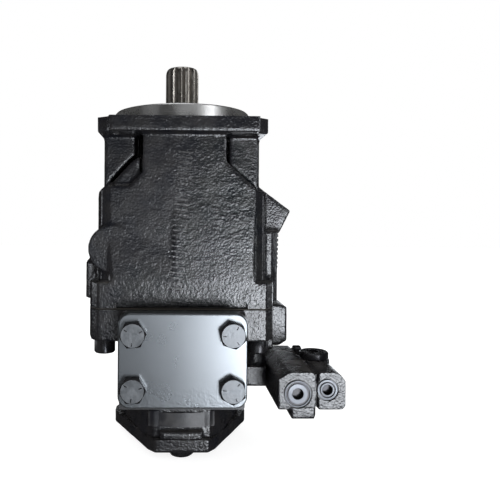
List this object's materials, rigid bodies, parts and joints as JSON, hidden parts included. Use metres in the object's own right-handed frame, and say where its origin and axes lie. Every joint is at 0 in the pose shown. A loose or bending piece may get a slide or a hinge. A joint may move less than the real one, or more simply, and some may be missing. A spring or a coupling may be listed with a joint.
{
  "type": "axial piston pump",
  "caption": "Variable swashplate axial piston pump with splined shaft, square flange, cover plate and side control valve.",
  "frame": {"origin": "centre of the mounting flange's face, on the shaft axis", "axes": "+Z along the shaft out of the pump, -Y out of the inlet port, +X towards the control valve"},
  "size_m": [0.221, 0.1861, 0.3428],
  "materials": {
    "painted_iron": "black semi-gloss paint over sand-cast iron",
    "machined_steel": "turned and hobbed steel, light oil film",
    "ground_steel": "ground steel",
    "plated_steel": "satin grey phosphated steel",
    "black_steel": "black-finished steel",
    "bronze": "bearing bronze",
    "seal_rubber": "moulded nitrile rubber",
    "gasket_fibre": "compressed fibre"
  },
  "bodies": {
    "case": {"housing": "painted_iron", "end_cap": "painted_iron", "rear_cover": "painted_iron", "valve_body": "painted_iron", "front_bearing_cup": "ground_steel", "rear_bearing_cup": "ground_steel", "inlet_cover": "plated_steel", "pc_plug": "plated_steel", "ls_plug": "plated_steel", "inlet_cover_bolt_1": "black_steel", "inlet_cover_bolt_2": "black_steel", "inlet_cover_bolt_3": "black_steel", "inlet_cover_bolt_4": "black_steel", "end_cap_screw_1": "black_steel", "end_cap_screw_2": "black_steel", "end_cap_screw_3": "black_steel", "end_cap_screw_4": "black_steel", "rear_cover_bolt_front": "black_steel", "rear_cover_bolt_back": "black_steel", "valve_screw_1": "black_steel", "valve_screw_2": "black_steel", "valve_top_plug": "black_steel", "drain_plug": "black_steel", "seal_snap_ring": "black_steel", "valve_plate": "bronze", "cradle_bearing_front": "bronze", "cradle_bearing_back": "bronze", "shaft_seal": "seal_rubber", "end_cap_gasket": "gasket_fibre", "bias_spring": "black_steel"},
    "rotor": {"drive_shaft": "machined_steel", "cylinder_block": "ground_steel", "ball_guide": "ground_steel", "block_spring": "black_steel", "front_bearing_cone": "ground_steel", "rear_bearing_cone": "ground_steel"},
    "swash": {"swashplate": "ground_steel"},
    "retainer": {"slipper_retainer": "ground_steel"},
    "slipper_1": {"slipper_1": "bronze"},
    "piston_1": {"piston_1": "ground_steel"},
    "slipper_2": {"slipper_2": "bronze"},
    "piston_2": {"piston_2": "ground_steel"},
    "slipper_3": {"slipper_3": "bronze"},
    "piston_3": {"piston_3": "ground_steel"},
    "slipper_4": {"slipper_4": "bronze"},
    "piston_4": {"piston_4": "ground_steel"},
    "slipper_5": {"slipper_5": "bronze"},
    "piston_5": {"piston_5": "ground_steel"},
    "slipper_6": {"slipper_6": "bronze"},
    "piston_6": {"piston_6": "ground_steel"},
    "slipper_7": {"slipper_7": "bronze"},
    "piston_7": {"piston_7": "ground_steel"},
    "slipper_8": {"slipper_8": "bronze"},
    "piston_8": {"piston_8": "ground_steel"},
    "slipper_9": {"slipper_9": "bronze"},
    "piston_9": {"piston_9": "ground_steel"},
    "servo": {"servo_piston": "ground_steel"},
    "bias": {"bias_piston": "ground_steel"},
    "pc_spool": {"pc_spool": "ground_steel"},
    "ls_spool": {"ls_spool": "ground_steel"}
  },
  "joints": [
    {"name": "shaft_spin", "type": "hinge", "parent": "case", "child": "rotor", "pos_m": [0, 0, 0], "axis": [0, 0, 1], "continuous": true},
    {"name": "swash_tilt", "type": "hinge", "parent": "case", "child": "swash", "pos_m": [0, 0, -0.085], "axis": [0, -1, 0], "range_deg": [-16, 0], "stiffness_Nm_per_rad": 40, "springref_deg": 20.05},
    {"name": "retainer_spin", "type": "hinge", "parent": "swash", "child": "retainer", "pos_m": [0, 0, -0.085], "axis": [-0.2756, 0, 0.9613], "continuous": true},
    {"name": "slipper_turn_1", "type": "hinge", "parent": "retainer", "child": "slipper_1", "pos_m": [0.03528, 0, -0.07488], "axis": [-0.2756, 0, 0.9613], "continuous": true},
    {"name": "piston_swivel_1", "type": "hinge", "parent": "slipper_1", "child": "piston_1", "pos_m": [0.03528, 0, -0.07488], "axis": [0, -1, 0], "range_deg": [-0.1, 16.1]},
    {"name": "slipper_turn_2", "type": "hinge", "parent": "retainer", "child": "slipper_2", "pos_m": [0.02703, 0.02359, -0.07725], "axis": [-0.2756, 0, 0.9613], "continuous": true},
    {"name": "piston_swivel_2", "type": "hinge", "parent": "slipper_2", "child": "piston_2", "pos_m": [0.02703, 0.02359, -0.07725], "axis": [0, -1, 0], "range_deg": [-0.1, 16.1]},
    {"name": "slipper_turn_3", "type": "hinge", "parent": "retainer", "child": "slipper_3", "pos_m": [0.00613, 0.03614, -0.08324], "axis": [-0.2756, 0, 0.9613], "continuous": true},
    {"name": "piston_swivel_3", "type": "hinge", "parent": "slipper_3", "child": "piston_3", "pos_m": [0.00613, 0.03614, -0.08324], "axis": [0, -1, 0], "range_deg": [-0.1, 16.1]},
    {"name": "slipper_turn_4", "type": "hinge", "parent": "retainer", "child": "slipper_4", "pos_m": [-0.01764, 0.03178, -0.09006], "axis": [-0.2756, 0, 0.9613], "continuous": true},
    {"name": "piston_swivel_4", "type": "hinge", "parent": "slipper_4", "child": "piston_4", "pos_m": [-0.01764, 0.03178, -0.09006], "axis": [0, -1, 0], "range_deg": [-0.1, 16.1]},
    {"name": "slipper_turn_5", "type": "hinge", "parent": "retainer", "child": "slipper_5", "pos_m": [-0.03315, 0.01255, -0.09451], "axis": [-0.2756, 0, 0.9613], "continuous": true},
    {"name": "piston_swivel_5", "type": "hinge", "parent": "slipper_5", "child": "piston_5", "pos_m": [-0.03315, 0.01255, -0.09451], "axis": [0, -1, 0], "range_deg": [-0.1, 16.1]},
    {"name": "slipper_turn_6", "type": "hinge", "parent": "retainer", "child": "slipper_6", "pos_m": [-0.03315, -0.01255, -0.09451], "axis": [-0.2756, 0, 0.9613], "continuous": true},
    {"name": "piston_swivel_6", "type": "hinge", "parent": "slipper_6", "child": "piston_6", "pos_m": [-0.03315, -0.01255, -0.09451], "axis": [0, -1, 0], "range_deg": [-0.1, 16.1]},
    {"name": "slipper_turn_7", "type": "hinge", "parent": "retainer", "child": "slipper_7", "pos_m": [-0.01764, -0.03178, -0.09006], "axis": [-0.2756, 0, 0.9613], "continuous": true},
    {"name": "piston_swivel_7", "type": "hinge", "parent": "slipper_7", "child": "piston_7", "pos_m": [-0.01764, -0.03178, -0.09006], "axis": [0, -1, 0], "range_deg": [-0.1, 16.1]},
    {"name": "slipper_turn_8", "type": "hinge", "parent": "retainer", "child": "slipper_8", "pos_m": [0.00613, -0.03614, -0.08324], "axis": [-0.2756, 0, 0.9613], "continuous": true},
    {"name": "piston_swivel_8", "type": "hinge", "parent": "slipper_8", "child": "piston_8", "pos_m": [0.00613, -0.03614, -0.08324], "axis": [0, -1, 0], "range_deg": [-0.1, 16.1]},
    {"name": "slipper_turn_9", "type": "hinge", "parent": "retainer", "child": "slipper_9", "pos_m": [0.02703, -0.02359, -0.07725], "axis": [-0.2756, 0, 0.9613], "continuous": true},
    {"name": "piston_swivel_9", "type": "hinge", "parent": "slipper_9", "child": "piston_9", "pos_m": [0.02703, -0.02359, -0.07725], "axis": [0, -1, 0], "range_deg": [-0.1, 16.1]},
    {"name": "servo_stroke", "type": "slide", "parent": "case", "child": "servo", "axis": [0, 0, 1], "range_m": [0, 0.01783]},
    {"name": "bias_stroke", "type": "slide", "parent": "case", "child": "bias", "axis": [0, 0, 1], "range_m": [-0.01783, 0], "deforming": ["bias_spring"]},
    {"name": "pc_spool_shift", "type": "slide", "parent": "case", "child": "pc_spool", "axis": [0, 1, 0], "range_m": [-0.0015, 0.0015], "stiffness_N_per_m": 1500},
    {"name": "ls_spool_shift", "type": "slide", "parent": "case", "child": "ls_spool", "axis": [0, 1, 0], "range_m": [-0.0015, 0.0015], "stiffness_N_per_m": 1500}
  ],
  "couplings": [
    {"joint": "retainer_spin", "follows": "shaft_spin", "ratio": 1},
    {"joint": "slipper_turn_1", "follows": "shaft_spin", "ratio": -1},
    {"joint": "piston_swivel_1", "follows": "swash_tilt", "ratio": -1},
    {"joint": "slipper_turn_2", "follows": "shaft_spin", "ratio": -1},
    {"joint": "piston_swivel_2", "follows": "swash_tilt", "ratio": -1},
    {"joint": "slipper_turn_3", "follows": "shaft_spin", "ratio": -1},
    {"joint": "piston_swivel_3", "follows": "swash_tilt", "ratio": -1},
    {"joint": "slipper_turn_4", "follows": "shaft_spin", "ratio": -1},
    {"joint": "piston_swivel_4", "follows": "swash_tilt", "ratio": -1},
    {"joint": "slipper_turn_5", "follows": "shaft_spin", "ratio": -1},
    {"joint": "piston_swivel_5", "follows": "swash_tilt", "ratio": -1},
    {"joint": "slipper_turn_6", "follows": "shaft_spin", "ratio": -1},
    {"joint": "piston_swivel_6", "follows": "swash_tilt", "ratio": -1},
    {"joint": "slipper_turn_7", "follows": "shaft_spin", "ratio": -1},
    {"joint": "piston_swivel_7", "follows": "swash_tilt", "ratio": -1},
    {"joint": "slipper_turn_8", "follows": "shaft_spin", "ratio": -1},
    {"joint": "piston_swivel_8", "follows": "swash_tilt", "ratio": -1},
    {"joint": "slipper_turn_9", "follows": "shaft_spin", "ratio": -1},
    {"joint": "piston_swivel_9", "follows": "swash_tilt", "ratio": -1},
    {"joint": "servo_stroke", "follows": "swash_tilt", "m_per_rad": -0.063664},
    {"joint": "bias_stroke", "follows": "swash_tilt", "m_per_rad": 0.063664}
  ]
}
